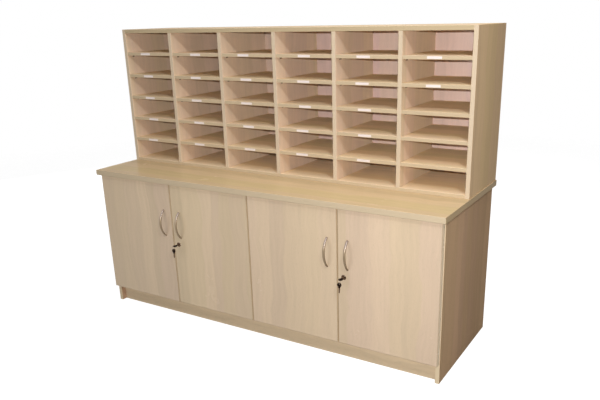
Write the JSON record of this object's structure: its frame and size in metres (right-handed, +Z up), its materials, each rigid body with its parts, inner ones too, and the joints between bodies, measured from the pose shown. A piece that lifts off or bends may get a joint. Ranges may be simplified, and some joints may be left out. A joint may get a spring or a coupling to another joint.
{
  "type": "pigeonhole mail sorter",
  "caption": "Rack of open pigeonholes on the worktop of a low cupboard with hinged, locking doors; sorts and stores mail.",
  "frame": {"origin": "on the floor, at the middle of the outline box in width and depth", "axes": "+X to the right as seen from the doors, +Y to the back, +Z up"},
  "size_m": [1.8, 0.6608, 1.352],
  "materials": {
    "beech_board": "satin melamine",
    "worktop_board": "satin melamine",
    "door_board": "satin melamine",
    "satin_chrome": "satin",
    "nickel_plate": "plated",
    "black_key": "matt"
  },
  "bodies": {
    "carcass": {"worktop": "worktop_board", "base_left_side": "beech_board", "base_right_side": "beech_board", "base_partition": "beech_board", "base_deck": "beech_board", "base_back": "beech_board", "plinth": "beech_board", "plinth_stretcher": "beech_board", "top_rail": "beech_board", "cupboard_shelf_left": "beech_board", "cupboard_shelf_right": "beech_board", "rack_left_side": "beech_board", "rack_right_side": "beech_board", "rack_top": "beech_board", "rack_bottom": "beech_board", "rack_back": "beech_board", "rack_divider_1": "beech_board", "rack_divider_2": "beech_board", "rack_divider_3": "beech_board", "rack_divider_4": "beech_board", "rack_divider_5": "beech_board", "rack_shelf_1": "beech_board", "rack_shelf_2": "beech_board", "rack_shelf_3": "beech_board", "rack_shelf_4": "beech_board", "rack_shelf_5": "beech_board", "hinge_arm_1_lower": "nickel_plate", "hinge_arm_1_upper": "nickel_plate", "hinge_arm_2_lower": "nickel_plate", "hinge_arm_2_upper": "nickel_plate", "hinge_arm_3_lower": "nickel_plate", "hinge_arm_3_upper": "nickel_plate", "hinge_arm_4_lower": "nickel_plate", "hinge_arm_4_upper": "nickel_plate"},
    "door_1": {"door_1": "door_board", "handle_1": "satin_chrome", "hinge_cup_1_lower": "nickel_plate", "hinge_cup_1_upper": "nickel_plate"},
    "door_2": {"door_2": "door_board", "handle_2": "satin_chrome", "hinge_cup_2_lower": "nickel_plate", "hinge_cup_2_upper": "nickel_plate", "lock_housing_left": "nickel_plate"},
    "door_3": {"door_3": "door_board", "handle_3": "satin_chrome", "hinge_cup_3_lower": "nickel_plate", "hinge_cup_3_upper": "nickel_plate"},
    "door_4": {"door_4": "door_board", "handle_4": "satin_chrome", "hinge_cup_4_lower": "nickel_plate", "hinge_cup_4_upper": "nickel_plate", "lock_housing_right": "nickel_plate"},
    "lock_left": {"lock_plug_left": "nickel_plate", "key_left": "black_key", "key_ring_left": "nickel_plate"},
    "spare_key_left": {"spare_key_left": "black_key"},
    "lock_right": {"lock_plug_right": "nickel_plate", "key_right": "black_key", "key_ring_right": "nickel_plate"},
    "spare_key_right": {"spare_key_right": "black_key"}
  },
  "joints": [
    {"name": "door_1_swing", "type": "hinge", "parent": "carcass", "child": "door_1", "pos_m": [-0.885, -0.28265, 0.086], "axis": [0, 0, -1], "range_deg": [0, 110]},
    {"name": "door_2_swing", "type": "hinge", "parent": "carcass", "child": "door_2", "pos_m": [-0.0015, -0.28265, 0.086], "axis": [0, 0, 1], "range_deg": [0, 85]},
    {"name": "door_3_swing", "type": "hinge", "parent": "carcass", "child": "door_3", "pos_m": [0.0015, -0.28265, 0.086], "axis": [0, 0, -1], "range_deg": [0, 85]},
    {"name": "door_4_swing", "type": "hinge", "parent": "carcass", "child": "door_4", "pos_m": [0.885, -0.28265, 0.086], "axis": [0, 0, 1], "range_deg": [0, 110]},
    {"name": "lock_left_turn", "type": "hinge", "parent": "door_2", "child": "lock_left", "pos_m": [-0.41375, -0.28265, 0.388], "axis": [0, 1, 0], "range_deg": [0, 90]},
    {"name": "spare_key_left_swing", "type": "hinge", "parent": "lock_left", "child": "spare_key_left", "pos_m": [-0.41375, -0.3212, 0.3748], "axis": [0, 1, 0], "range_deg": [-90, 0]},
    {"name": "lock_right_turn", "type": "hinge", "parent": "door_4", "child": "lock_right", "pos_m": [0.47275, -0.28265, 0.388], "axis": [0, 1, 0], "range_deg": [0, 90]},
    {"name": "spare_key_right_swing", "type": "hinge", "parent": "lock_right", "child": "spare_key_right", "pos_m": [0.47275, -0.3212, 0.3748], "axis": [0, 1, 0], "range_deg": [-90, 0]}
  ],
  "couplings": [
    {"joint": "spare_key_left_swing", "follows": "lock_left_turn", "ratio": -1},
    {"joint": "spare_key_right_swing", "follows": "lock_right_turn", "ratio": -1}
  ]
}
